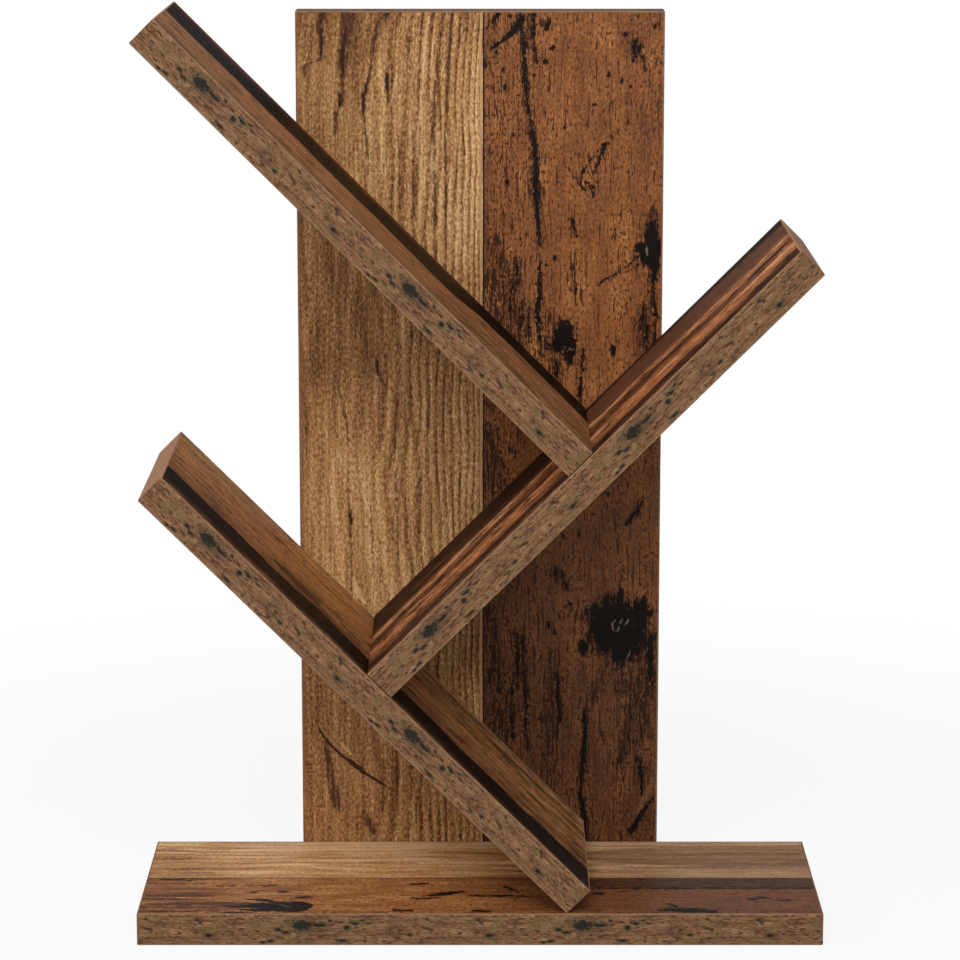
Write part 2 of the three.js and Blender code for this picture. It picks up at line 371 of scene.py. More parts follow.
# The panel's reddish plank.
RED_CRACKS = {
    "corner stroke": ((504, 9, 1.5), (498, 17, 2.4), (494, 22, 1.8), (488, 29)),
    "slanting crack": ((524, 16, 3), (517, 27, 4.5), (508, 37, 3.4), (500, 43, 3), (492, 49)),
    "main crack": (
        (521, 8, 1.5), (521, 20, 2), (524, 34, 2), (525, 55, 2.4), (527, 78, 2.8), (528, 92, 2),
        (530, 108, 1.8), (533, 126, 2.4), (536, 150, 3.2), (537, 180, 3.5), (538, 205, 2.5),
        (541, 228, 2), (541, 242),
    ),
    "second prong": ((533, 8, 3), (535, 18, 1.8), (534, 32, 1.4), (536, 46, 1.6), (538, 64)),
    "dash 549": ((551, 18), (548, 25, 2), (545, 31)),
    "right stroke 632": ((636, 36), (632, 44, 2), (632, 56, 1.8), (631, 61)),
    "right stroke 638": ((642, 42), (637, 50, 1.6), (639, 57, 1.4), (639, 61)),
    "scratch 598": ((606, 138), (601, 149, 1.4), (597, 160, 1.2), (592, 172)),
    "scratch 588": ((598, 146), (590, 157, 1), (583, 168, 1.2), (580, 176)),
    "star arm": ((570, 164), (576, 173, 1), (581, 180, 1.6), (586, 186)),
    "dash 575": ((572, 210), (574, 218, 1.4), (576, 229, 1.6), (577, 233)),
    "crack 574": ((572, 257), (573, 263, 2), (574, 274, 1.4), (576, 282, 1.6), (576, 288)),
    "fragments 541": (
        (543, 254), (541, 266, 1.6), (542, 284, 2.4), (539, 302, 2.8), (541, 322, 1.8), (541, 350),
    ),
    "spikes": (
        (640, 246, 1), (632, 256, 1.6), (622, 263, 1.2), (612, 270, 1.6), (604, 274, 1.2), (599, 279),
    ),
    "spike beside": ((640, 256), (630, 264, 1), (620, 268, 0.8), (612, 273)),
    "edge line": ((652, 262, 0.8), (653, 285, 0.8), (655, 310, 1), (655, 345, 0.8)),
    "edge dash": ((644, 298), (643, 308, 1.6), (640, 316, 1.2), (641, 322)),
    "edge bits": ((648, 318), (647, 328, 1.8), (646, 338, 1.2), (648, 344)),
    "knot prong": ((544, 334, 0.4), (550, 338, 1.3), (556, 341, 1.8), (561, 344)),
    "knot prong 2": ((547, 341), (553, 343, 1.2), (560, 345)),
    "dash 524": ((524, 292), (524, 302, 1.4), (523, 316, 1.2), (524, 324)),
    "dash 530": ((531, 300), (530, 312, 1.2), (531, 326, 1), (530, 338)),
    "dash 512": ((512, 268), (513, 282, 1.4), (512, 296, 1.2), (512, 306)),
    "dash 519": ((519, 252), (519, 268, 1.2), (518, 284)),
    "knot tail": ((558, 352), (558, 362, 2), (560, 374)),
    "tail 583": ((584, 342, 0.6), (584, 356, 1.4), (582, 372, 1.2), (581, 388, 2), (582, 396)),
    "diagonal 636": ((644, 494, 1), (640, 504, 2.4), (634, 511, 2.6), (628, 521)),
    "dash 558": ((557, 561), (558, 568, 1.4), (558, 577)),
    "dash 567": ((563, 566), (567, 578, 1.4), (569, 589)),
    "crack 587": (
        (585, 708), (588, 724, 2.4), (587, 750, 2.8), (586, 772, 2.4), (584, 790, 1.8), (587, 815, 3),
        (588, 845, 3),
    ),
    "crack 520": ((519, 632, 0.8), (520, 650, 1.8), (520, 684, 1), (520, 690)),
    "crack 514": ((514, 682), (514, 705, 1.4), (515, 735, 1.2), (515, 742)),
    "crack 528": ((525, 632), (526, 655, 1.8), (528, 690, 1.6), (529, 735, 1.2), (530, 752)),
    "crack 561": ((560, 672), (560, 690, 2.2), (562, 712, 1.6), (564, 724)),
    "crack 645": ((644, 760), (645, 780, 1.8), (646, 800)),
    "bottom diagonal": ((657, 803, 1), (648, 815, 2.2), (642, 826, 3.4), (637, 836, 4)),
    "edge 654": ((655, 632, 1.4), (653, 655, 3.6), (655, 684, 1.6), (656, 690)),
}
RED_STAINS = {
    "between the prongs": ((527, 8, 4), (529, 25, 5), (530, 45, 2)),
    "under the knot": ((608, 650, 5), (606, 672, 7), (600, 690, 6), (591, 706, 4), (587, 720)),
    "wide band": (
        (636, 640, 10), (642, 690, 13), (642, 712, 14), (636, 735, 12), (626, 762, 6), (618, 785),
    ),
    "dashed side": ((496, 225), (500, 258, 12), (508, 300, 17), (512, 340, 14), (520, 380)),
    "by the edge": ((650, 200), (650, 240, 5), (648, 290, 5), (644, 318, 10), (645, 338, 9), (650, 352)),
    "round the first knot": ((550, 300), (552, 325, 9), (554, 348, 9), (562, 380)),
    "dark lane": ((488, 530), (494, 590, 3), (500, 690, 6), (503, 740, 6), (508, 790, 3), (510, 830)),
    "left corner": ((488, 415, 4), (492, 440, 12), (500, 480, 12), (500, 520)),
    "dark lane 550": ((552, 640), (555, 690, 8), (554, 730, 10), (553, 780, 8), (550, 810)),
    "round the big knot": ((612, 588), (608, 605, 12), (610, 640, 13), (622, 670, 12), (628, 700)),
}
RED_LIGHTS = {
    "wedge": ((607, 640, 0.5), (604, 652, 3), (600, 668, 3.4), (597, 684)),
    "wedge 630": ((631, 664), (630, 676, 2.4), (629, 692)),
    "corner": ((657, 780), (651, 796, 4), (645, 812, 3), (640, 824)),
}
# Painted glints: small grey curls and bars of light on the dark knots.
RED_PAINTED_GLINTS = {
    "curl": ((619, 617), (616, 620, 1.2), (615, 624, 1.4), (616, 628, 0.8), (618, 629)),
    "curl's end": ((622, 624), (621, 627, 1.1), (618, 630)),
    "bar": ((625, 616), (624, 619, 1), (623, 622)),
    "hook": ((632, 615), (630, 619, 1.2), (628, 623)),
    "lower tick": ((634, 648), (632, 653, 1), (630, 657)),
    "small knot's tick": ((571, 340), (570, 343, 1.3), (568, 345)),
    "small knot's bar": ((577, 341), (574, 343, 1), (572, 344)),
    "edge tick": ((648, 240), (646, 245, 1.1), (647, 250)),
}
RED_SPOTS = (
    (487, 62, 5, 6), (571, 11, 4, 2), (623, 34, 2.6, 3), (652, 26, 2, 4), (553, 47, 3, 3),
    (546, 60, 3, 3), (512, 16, 2, 2), (498, 51, 3, 3), (505, 68, 2, 3), (506, 86, 2, 5),
    (535, 73, 2, 3), (608, 72, 2, 2.6), (620, 79, 1.6, 4), (629, 84, 2, 2), (515, 131, 2.4, 2.8),
    (565, 124, 2.6, 1.6), (643, 68, 1.8, 3.4), (594, 102, 3, 2), (627, 117, 1.6, 3), (611, 134, 2, 3.4),
    (604, 140, 3.6, 1.8), (592, 182, 3.4, 3.4), (593, 190, 1.8, 3.4), (587, 178, 3.4, 1.8),
    (509, 178, 2.6, 3.6), (556, 252, 2.4, 3), (548, 259, 3, 2), (610, 489, 2, 3), (595, 509, 2.4, 1.6),
    (581, 530, 1.6, 5), (640, 761, 3, 4), (572, 601, 3, 2), (551, 622, 3, 4), (557, 630, 2.4, 4),
)
RED_KNOTS = (
    (651, 231, 6, 17), (654, 250, 5, 22), (640, 242, 6, 5), (645, 251, 6, 8), (566, 330, 10, 13),
    (571, 343, 6, 13), (561, 337, 7, 9), (614, 345, 2.4, 6), (617, 621, 26, 24), (612, 632, 20, 18),
    (630, 636, 20, 17), (640, 612, 13, 14), (622, 650, 9, 13), (623, 594, 3, 9), (586, 646, 5, 8),
)

# The base's top.
BASE_STAINS_AND_PAINTED_SHADE = {
    "long line": ((215, 888, 0.8), (228, 888, 1), (250, 888, 0.7), (266, 888, 1), (276, 888)),
    "line 886": ((145, 886, 0.8), (156, 886, 0.9), (164, 886)),
    "line 897": ((164, 897), (182, 897, 1), (204, 897)),
    "line 905": ((136, 905, 0.9), (160, 905, 1), (184, 905)),
    "streak 915": ((133, 915, 1.4), (180, 915, 1.6), (224, 915)),
    "streak 920": ((132, 920.5, 1.2), (190, 920, 1.2), (218, 920)),
    "knot's left": ((132, 911, 1), (190, 911, 2), (250, 913, 4), (286, 914)),
    "left lines": ((134, 900, 1), (170, 901, 1.6), (214, 901)),
    "right band": ((560, 885), (610, 885, 5), (700, 885, 6), (822, 885, 6)),
    "dark line": ((172, 872), (195, 872, 1.1), (214, 872)),
    "back streak": ((156, 843), (172, 842.5, 1.2), (186, 842)),
    "back line": ((620, 866), (690, 866, 1), (812, 866, 0.8)),
    # Painted shade: the back plank is darkened right of the lower branch's foot, under the branches.
    "back shade": ((560, 852), (640, 852, 10), (812, 852, 14)),
}
BASE_CRACKS = {
    "knot": (
        (222, 914.6), (238, 914.4, 1.6), (252, 913.6, 3), (266, 914.6, 5.2), (284, 914.8, 7),
        (300, 914.4, 6.2), (307, 914, 3.4), (311, 913.6),
    ),
    "knot's foot": ((236, 918), (252, 918.6, 1.6), (268, 919, 1.4), (276, 919)),
    "prong": ((246, 905.5), (256, 906, 1.4), (268, 908, 2), (278, 911)),
    "line 922": ((216, 922), (231, 922, 1.2), (248, 922)),
    "above the knot": ((293, 903), (302, 903, 1), (312, 903)),
    "dash 896": ((276, 896), (283, 896, 0.9), (290, 896)),
    "dash 897": ((245, 897), (250, 897, 0.8), (256, 897)),
    "dash 886": ((409, 886.5), (419, 886, 1), (429, 886)),
    "spindle": ((421, 901.5), (432, 900, 1.4), (446, 898, 2.2), (457, 896.6, 1.6), (466, 895.6)),
    "under it": ((410, 904), (426, 904, 1), (441, 903.4)),
    "line 901": ((466, 901), (490, 901, 0.8), (520, 901, 0.7), (543, 901)),
    "dash 892": ((503, 889), (511, 892, 1.2), (520, 897)),
    "dash 919": ((391, 919), (402, 919, 1.1), (413, 919)),
    "dash 920": ((470, 920), (481, 920, 1), (492, 920)),
    "line 891": ((588, 891.4), (640, 891.4, 0.9), (720, 891.4, 0.8), (820, 891.4, 0.8)),
    "blob 920": ((660, 919), (672, 919, 2), (690, 919.4, 2.8), (706, 920, 2.6), (722, 920.6)),
    "tip 913": ((668, 911), (676, 913, 1.2), (682, 916)),
    "scribble": ((750, 903), (758, 905, 1.4), (764, 903.4, 1.2), (776, 905)),
    "scribble 790": ((782, 906), (790, 907, 0.9), (798, 906.6)),
    "dash 898": ((593, 898), (600, 898, 0.8), (606, 898)),
    "seam patch": ((158, 881, 0.6), (180, 881, 1), (203, 881)),
}
# Painted glints: small pale marks of light on the base's knot.
BASE_PAINTED_GLINTS = {
    "heart": ((281, 914.4), (285, 914.4, 0.7), (289, 914.4)),
    "beside it": ((276, 912.4), (280, 912.6, 0.5), (284, 912.8)),
}

# The branches' tops: mm along from the end where their axes start, mm from the front edge, and
# half width in mm.
LOWER_MARKS = {
    "knot": ((196, 92), (204, 91, 3), (212, 90, 3.6), (222, 89, 2), (228, 89)),
    "dash": ((243, 71), (252, 70.5, 1.8), (262, 70)),
    "spot": ((108, 44), (114, 44, 2.6), (121, 43.5)),
    "patch 82": ((66, 44), (74, 43, 5), (88, 43, 5), (96, 42)),
    "patch 185": ((176, 40), (183, 41, 3.5), (188, 44, 2), (194, 46)),
    "back line": ((62, 83), (80, 82, 0.8), (105, 82, 1.2), (110, 83)),
    "line 60": ((4, 62), (20, 61, 0.8), (52, 61)),
    "line 52": ((4, 53), (30, 52, 0.8), (48, 52)),
}
LOWER_GOLD = {
    "pale": ((78, 85), (92, 84, 20), (110, 82, 24), (126, 82, 22), (134, 82)),
}
UPPER_MARKS = {
    "spot 78": ((74, 15), (78, 14, 2.4), (83, 12)),
    "spot 46": ((42, 38), (46, 36, 4), (51, 36)),
    "spot 9": ((5, 36), (9, 35, 2.6), (16, 34)),
    "foot": ((208, 8), (218, 9, 4), (228, 8, 4.6), (236, 6)),
    "line 190": ((172, 17), (186, 18, 2.6), (198, 16)),
    "line 185": ((178, 34), (184, 34, 2.2), (192, 33)),
}
RIGHT_MARKS = {
    "line 90": ((58, 45), (75, 45, 2.4), (95, 44, 2.8), (118, 44, 2), (122, 44)),
    "line 185": ((160, 52), (172, 52, 3.2), (185, 51, 2.6), (205, 50, 2.8), (212, 49)),
    "line 250": ((240, 45), (250, 45, 3), (262, 44, 2.4), (266, 44)),
    "front patch": ((45, 14), (60, 12, 4), (80, 11, 4.4), (95, 12)),
    "front patch 205": ((190, 14), (200, 15, 2.6), (208, 12)),
}
RIGHT_BACK = {
    "brown": ((120, 88), (132, 86, 12), (150, 86, 16), (200, 82, 20), (240, 80, 18), (268, 78, 16)),
    "grey": ((26, 84), (38, 85, 2.6), (50, 82, 2), (66, 82)),
}
RIGHT_FRONT = {
    "pale": ((134, 18), (146, 20, 5), (180, 21, 5), (215, 20, 5), (262, 24, 3)),
}
RIGHT_LIGHTS = {
    "light 12": ((2, 64), (10, 60, 1.8), (20, 62, 1.6), (32, 60)),
    "light 30": ((22, 44), (29, 45, 1.6), (34, 44)),
    "light 60": ((45, 62), (60, 64, 2.4), (72, 66, 1.4), (80, 64)),
    "light 83": ((76, 58), (83, 58, 2), (90, 59)),
    "light 145": ((141, 34), (145, 33, 2.6), (152, 33)),
    "light 150": ((142, 62), (150, 62, 1.8), (162, 61)),
    "light 190": ((183, 32), (188, 31, 1.4), (196, 31)),
    "light 250": ((238, 32), (248, 31, 2.4), (266, 31, 1.6)),
}

# The strips' blotches: mm along the print, mm up from the strip's lower edge, half length and
# half height in mm.
STRIP_BLOTCHES = (
    (34.5, 9.7, 5.6, 2.6), (42.5, 9.5, 2.6, 1.2), (46.7, 11.7, 1.2, 0.6), (23.0, 7.5, 1.9, 1.0),
    (26.5, 6.1, 1.8, 0.8), (19.8, 2.2, 1.6, 0.7), (16.8, 1.6, 1.4, 0.6), (52.7, 2.2, 1.5, 0.8),
    (54.6, 8.6, 1.6, 1.3), (58.4, 10.6, 2.6, 1.0), (61.5, 11.7, 1.2, 0.6), (83.0, 5.0, 1.4, 0.8),
    (118.9, 4.8, 2.0, 0.8),
)


def on_branch(along, across):
    """A place given in mm already, and the size of its unit."""
    return along, across, 1.0


def on_panel(x, y):
    """A pixel of the panel's front as mm down from its top and mm from its left edge, and its size."""
    return (y - PHOTO_TOP) * PIXEL, (x - PHOTO_LEFT) * PIXEL, PIXEL


def on_base(x, y):
    """A pixel of the base's top as mm from its left edge and behind its front edge, and its depth."""
    behind = BASE_REACH / (y + BASE_RISE) - BASE_NEAR
    across = (x - BASE_MIDDLE) * FRONT_PIXEL * (BASE_NEAR + behind) / BASE_NEAR
    return across - cad_box[0].x / MM, behind, BASE_REACH / (y + BASE_RISE) ** 2


def stroke(g, points, to_board):
    """How far inside a stroke each place is, in mm."""
    places = []
    for point in points:
        along, across, size = to_board(*point[:2])
        half = point[2] * size if len(point) > 2 else 0.0
        places.append((along, across, half))
    first, last = places[0][0], places[-1][0]
    left = min(across for along, across, half in places)
    room = max(max(across for along, across, half in places) - left, STRAIGHT)
    widest = max(half for along, across, half in places)
    share = (g.u - first) / (last - first)
    middle = g.curve(share, [((a - first) / (last - first), (c - left) / room) for a, c, h in places])
    half = g.curve(share, [((a - first) / (last - first), h / widest) for a, c, h in places])
    off = abs(g.v - g.math("MULTIPLY_ADD", middle, room, left))
    inside = g.math("MULTIPLY_ADD", half, widest, 0 - off)
    beyond = g.math("MAXIMUM", abs(share - 0.5) - 0.5, 0.0)
    return inside - beyond * abs(last - first)


def strokes(g, marks, to_board=on_panel):
    """How far inside the nearest of several strokes each place is, in mm."""
    return g.pick("MAXIMUM", (stroke(g, points, to_board) for points in marks.values()))


def from_oval(g, place, along, across, half_length, half_width):
    """How far each place is from an oval's middle, in sizes of the oval, which is given in mm."""
    scale = (1 / half_length, 1 / half_width, 0)
    shift = (-along * scale[0], -across * scale[1], 0)
    return g.vector("LENGTH", g.vector("MULTIPLY_ADD", place, scale, shift))


def from_spot(g, x, y, half_width, half_height):
    along, across, size = on_panel(x, y)
    return from_oval(g, g.place, along, across, half_height * size, half_width * size)


def from_spots(g, marks):
    """How far from the nearest of several spots each place is, in sizes of the spot."""
    return g.pick("MINIMUM", (from_spot(g, *spot) for spot in marks))


def ragged(g, seed, size=1.0):
    """Fine noise drawn out along the grain, for the edges of marks."""
    fine = g.noise(g.place, (2.4 * size, 0.8 * size), seed, 3, 0.75)
    coarse = g.noise(g.place, (7.0 * size, 2.4 * size), seed + 1)
    return fine * 1.7 + coarse * 0.7


def specks(g, place, grain, seed, density):
    """A mask of irregular pores where fine noise passes a limit that falls with the density."""
    fine = g.noise(place, grain, seed, 1, 0.6)
    return g.step(fine + density, 0.3, 0.42)


# Colours of the print, as screen values. The ramps run from dark to light.
TAN = (
    (0.0, (40, 23, 13)), (0.2, (80, 50, 29)), (0.4, (121, 81, 47)), (0.55, (147, 105, 65)),
    (0.72, (174, 132, 86)), (1.0, (216, 179, 128)),
)
RED = (
    (0.0, (33, 17, 10)), (0.22, (74, 44, 26)), (0.42, (111, 68, 39)), (0.58, (133, 82, 45)),
    (0.78, (156, 100, 57)), (1.0, (196, 140, 88)),
)
GOLD = (
    (0.0, (70, 42, 24)), (0.25, (120, 78, 44)), (0.45, (158, 110, 66)), (0.6, (180, 131, 84)),
    (0.8, (204, 159, 110)), (1.0, (230, 195, 150)),
)
STRIP = (
    (0.0, (36, 23, 15)), (0.25, (74, 49, 33)), (0.46, (108, 76, 52)), (0.66, (134, 98, 69)),
    (1.0, (176, 134, 98)),
)
BLACK = (11, 6, 4)
BROWN = (46, 25, 16)
STAIN = (62, 36, 27)
PALE = (224, 188, 138)
DARK = (48, 28, 18)
SEAM_LIGHT = (178, 138, 98)

# One growth ring from its dark line, over its bright side, to the next.
RING = ((0.0, 0.1), (0.1, 0.0), (0.26, 0.5), (0.42, 0.78), (0.62, 0.62), (0.82, 0.46), (1.0, 0.1))

# How far the panel's growth rings lean over, from its top edge down.
LEAN = ((0.0, 1.0), (0.12, 0.62), (0.3, 0.22), (0.6, 0.04), (1.0, 0.0))
LEAN_MOST = 3.6           # mm, at the top edge
LEAN_END = 90.0           # mm from the top edge to where they stand straight

PAPER_GLOSS = 0.1         # specular level of the printed paper, of the branches' paper and the strips
BRANCH_GLOSS = 0.04
STRIP_GLOSS = 0.12
RELIEF = 0.012            # mm of relief in the paper and the strips


# In the materials, a pattern's size, a place and a limit of u, v or w are in mm. The shares beside
# them say how much lighter, darker, redder or more marked the print is there; where they paint light
# or shade, a comment says so.


def ink(g, base, inside, edge, black=BLACK):
    """Prints a mark on a base: a brown rim and a black core."""
    base = g.mix(g.step(inside, -edge, edge * 0.4) * 0.6, base, BROWN)
    return g.mix(g.step(inside, -edge * 0.2, edge * 0.5) * 0.96, base, black)


def growth_rings(g, across, span, wide, close):
    """Growth rings whose spacing shrinks from the left edge to the seam, and how strong they are."""
    share = across / span
    square = share * share
    phase = share * wide + square * square * close
    wander = g.noise(g.place, (60, 30), 71, 1) * 0.9
    jitter = g.noise(g.place, (6, 3), 72, 3, 0.65) * 0.25
    ring = g.curve(g.math("FRACT", phase + wander + jitter), RING)
    strength = g.step(share, 0.2, 0.75) * 0.8 + 0.2
    broken = g.noise(g.place, (16, 2.4), 73)
    beads = g.noise(g.place, (2.4, 1.2), 74, 2, 0.7)
    return (ring - 0.5) * (strength * (broken * 1.1 + beads * 1.4 + 0.9))


def tan_plank(g, seed, across, rings, streak=(38, 1.7)):
    """Tone and relief of a light plank: long soft streaks, a fine grain and its growth rings."""
    place = g.join(g.u, across)
    broad = g.noise(place, (70, 16), seed)
    streaks = g.noise(place, streak, seed + 1, 3, 0.6)
    grain = g.noise(place, (1.9, 1.0), seed + 2, 3, 0.75)
    fleck = specks(g, place, (2.6, 0.8), seed + 3, broad * 0.12)
    tone = 0.55 + broad * 0.22 + streaks * 0.28 + grain * 0.58 + rings * 0.5
    return tone - fleck * 0.16, grain + rings


def red_plank(g, seed, density, streak=(32, 1.2)):
    """Tone, pores and relief of a reddish plank whose pores crowd where density says."""
    bend = g.noise(g.place, (60, 20), seed, 1) * 3.0
    across = g.v + bend
    place = g.join(g.u, across)
    broad = g.noise(place, (28, 11), seed + 1, 3, 0.6)
    streaks = g.noise(place, streak, seed + 2, 3, 0.6)
    grain = g.noise(place, (2.0, 1.1), seed + 3, 3, 0.75)
    crowd = density * 0.34 + broad * 0.34 - 0.03
    small = specks(g, place, (2.2, 0.85), seed + 4, crowd * 0.8 + 0.02)
    long = specks(g, place, (10.0, 1.4), seed + 5, crowd - 0.06)
    pores = g.math("MAXIMUM", small, long)
    tone = 0.54 + broad * 0.32 + streaks * (0.2 + density * 0.2) + grain * 0.5
    return tone, pores, grain + streaks


def old_marks(g, base, seed):
    """Prints scattered cracks and knots on the face that the photograph doesn't show."""
    rag = ragged(g, seed)
    wave = g.noise(g.place, (80, 9), seed + 2, 3, 0.6)
    cracks = 0.6 - abs(wave) * 40.0 + rag * 0.5
    there = g.step(g.noise(g.place, (50, 12), seed + 3, 1), 0.1, 0.2)
    distance, random = g.cells(g.place, (110, 60), seed + 4)
    lumpy = g.noise(g.place, (9, 4), seed + 5, 4, 0.75)
    knots = 0.9 - distance * 11.0 - lumpy * 1.6 - rag * 0.4
    chosen = g.math("LESS_THAN", random, 0.3)
    inside = g.math("MAXIMUM", (cracks + 3.0) * there, (knots + 3.0) * chosen)
    return ink(g, base, inside * g.behind - 3.0, 0.35)


def paper(g, base, dark, height, gloss=PAPER_GLOSS):
    """The satin surface of the printed paper, a little duller where the print is dark."""
    roughness = 0.46 + height * 0.05 + dark * 0.08
    return g.finish(base, roughness, height, RELIEF, gloss)


def graph_of(name, other_face=False):
    """A new material's graph, with u, v and w read."""
    g = Graph(bpy.data.materials.new(name))
    g.read_place(other_face)
    return g


def panel_tan_material():
    g = graph_of("panel_light_plank", other_face=True)
    lean = g.curve(g.u / LEAN_END, LEAN) * LEAN_MOST
    wander = g.noise(g.place, (80, 30), 5, 1) * 1.6
    across = g.v - lean + wander
    rings = growth_rings(g, across, PANEL_SEAM, 9.0, 6.75)
    tone, height = tan_plank(g, 1, across, rings)
    rag = ragged(g, 9)
    stains = g.step(strokes(g, TAN_STAINS) + rag, -0.4, 0.6)
    stains = stains * g.step(g.noise(g.place, (6, 1.4), 12, 3), -0.5, 0.05)
    lights = g.step(strokes(g, TAN_LIGHTS) + rag * 0.6, -0.2, 0.4)
    edge = g.step(g.v, 3.4, 1.2)
    # Painted light: two patches of the plank are printed lighter, as if lit there. The top edge is printed
    # darker,
    # which is print, and the part just below the upper branch is printed darker, which is painted shade.
    painted_light = g.near(g.u, 262, 75, 15) * g.step(g.v, 90, 15) * 0.2
    painted_light = painted_light + g.near(g.u, 78, 48, 20) * g.step(g.v, 10, 30) * 0.12
    dark_print_and_painted_shade = g.near(g.u, 140, 45, 20) * g.step(g.v, 55, 15) * 0.12 + g.step(g.u, 30, 5) * 0.11
    base = g.ramp(tone + painted_light - dark_print_and_painted_shade + g.step(g.v, 52, 80) * 0.05 - stains * 0.1, TAN)
    # Painted light: the orange-brown band along the left edge stands for the light on the rounded edge.
    base = g.mix(edge * 0.4, base, (128, 78, 44))
    base = g.mix(lights * 0.45, base, PALE)
    base = g.mix(stains * 0.8, base, STAIN)
    base = ink(g, base, strokes(g, TAN_CRACKS) + rag * 0.7, 0.5, BROWN)
    base = g.mix(g.near(g.v, PANEL_SEAM - 0.9, 0.7, 0.3) * 0.8, base, SEAM_LIGHT)
    base = old_marks(g, base, 14)
    return paper(g, base, stains, height)


def panel_red_material():
    g = graph_of("panel_red_plank", other_face=True)
    rag = ragged(g, 29)
    cracks = strokes(g, RED_CRACKS)
    knots = from_spots(g, RED_KNOTS)
    halo = g.math("MAXIMUM", g.step(cracks, -3.5, 0.0), g.step(knots, 1.7, 1.0))
    stains = g.step(strokes(g, RED_STAINS) + rag * 3.0, -2.5, 3.0)
    left = g.step(g.v, 122, 90) * 0.35
    density = g.math("MINIMUM", halo * 0.55 + stains * 0.7 + left + g.step(g.u, 205, 280) * 0.15, 1.0)
    tone, pores, height = red_plank(g, 21, density)
    # The lower part of the front is printed darker and browner (low): partly print, partly painted shade
    # below the right branch.
    low = g.step(g.u, 205, 260) * (1.0 - g.behind)
    # Painted light: two patches are printed lighter. The top right corner is printed darker, which is
    # print,
    # and the bottom is printed darker, which is painted shade.
    painted_light = g.near(g.u, 145, 60, 30) * g.near(g.v, 130, 30, 15) * 0.08
    painted_light = painted_light + g.near(g.u, 268, 50, 25) * 0.11
    dark_print_and_painted_shade = g.step(g.v, 140, 165) * g.step(g.u, 100, 40) * 0.09 + g.step(g.u, 315, 345) * 0.05
    base = g.ramp(tone - stains * 0.08 - low * 0.18 + painted_light - dark_print_and_painted_shade, RED)
    base = g.mix(low * 0.35, base, (92, 60, 37))
    lights = g.step(strokes(g, RED_LIGHTS) + rag, -0.5, 1.0)
    base = g.mix(lights * 0.4, base, (138, 92, 62))
    lines = specks(g, g.place, (24.0, 0.9), 37, stains * 0.24 + low * 0.04 - 0.06)
    base = g.mix(g.math("MAXIMUM", pores, lines) * 0.85, base, (28, 15, 10))
    base = ink(g, base, cracks + rag * 1.5, 0.45)
    small = from_spots(g, RED_SPOTS) + rag * 0.9
    base = ink(g, base, 0.8 - small, 0.35)
    big = knots + g.noise(g.place, (6, 3), 31, 4, 0.75) * 1.1 + rag * 0.3
    base = ink(g, base, 1.1 - big, 0.12)
    # Painted glints on the knots, in a pale grey.
    painted_glints = g.step(strokes(g, RED_PAINTED_GLINTS) + rag * 0.6, -0.1, 0.4)
    base = g.mix(painted_glints * 0.75, base, (126, 108, 94))
    base = g.mix(g.step(g.v, PANEL_SEAM + 1.0, PANEL_SEAM + 0.5), base, (30, 16, 10))
    base = old_marks(g, base, 36)
    return paper(g, base, pores, height)


def base_tan_material():
    g = graph_of("base_light_plank", other_face=True)
    across = g.v + g.noise(g.place, (90, 40), 45, 1) * 2.4
    rings = growth_rings(g, across - BASE_SEAM + 30.0, 88.0, 8.0, 3.0)
    tone, height = tan_plank(g, 41, across, rings * 0.8, (60, 3.6))
    bright = g.noise(g.join(g.u, across), (55, 5.0), 47, 3, 0.6)
    right = g.step(g.u, 190, 225)
    # The middle is printed lighter and more golden: partly a warmer print, partly painted light where the
    # branches would shade the base.
    middle = g.near(g.u, 105, 95, 35)
    rag = ragged(g, 49)
    # Among these stains is one painted shade, at the back plank's right (back shade).
    stains = g.step(strokes(g, BASE_STAINS_AND_PAINTED_SHADE, on_base) + rag * 1.6, -0.8, 1.0)
    # Painted light: the back and two patches are printed lighter, and the front a little darker as shade.
    painted_light = g.step(g.v, 84, 104) * 0.16 + g.near(g.u, 85, 60, 35) * g.step(g.v, 70, 98) * 0.1
    painted_light = painted_light + g.near(g.u, 112, 30, 12) * 0.12 - g.step(g.v, 78, 62) * 0.05
    base = g.ramp(tone + bright * 0.42 + middle * 0.14 + right * 0.08 + painted_light + 0.04, GOLD)
    base = g.mix(right * 0.5, base, (138, 108, 87))
    dashes = specks(g, g.place, (13.0, 2.2), 48, bright * 0.3 + right * 0.06)
    base = g.mix(dashes * (right * 0.3 + 0.15), base, (206, 172, 138))
    base = g.mix(middle * 0.12, base, (204, 136, 78))
    base = g.mix(stains * 0.5, base, (80, 50, 34))
    base = g.mix(g.step(g.v, BASE_SEAM + 0.9, BASE_SEAM + 0.2) * 0.8, base, (84, 50, 33))
    base = old_marks(g, base, 54)
    return paper(g, base, stains, height)


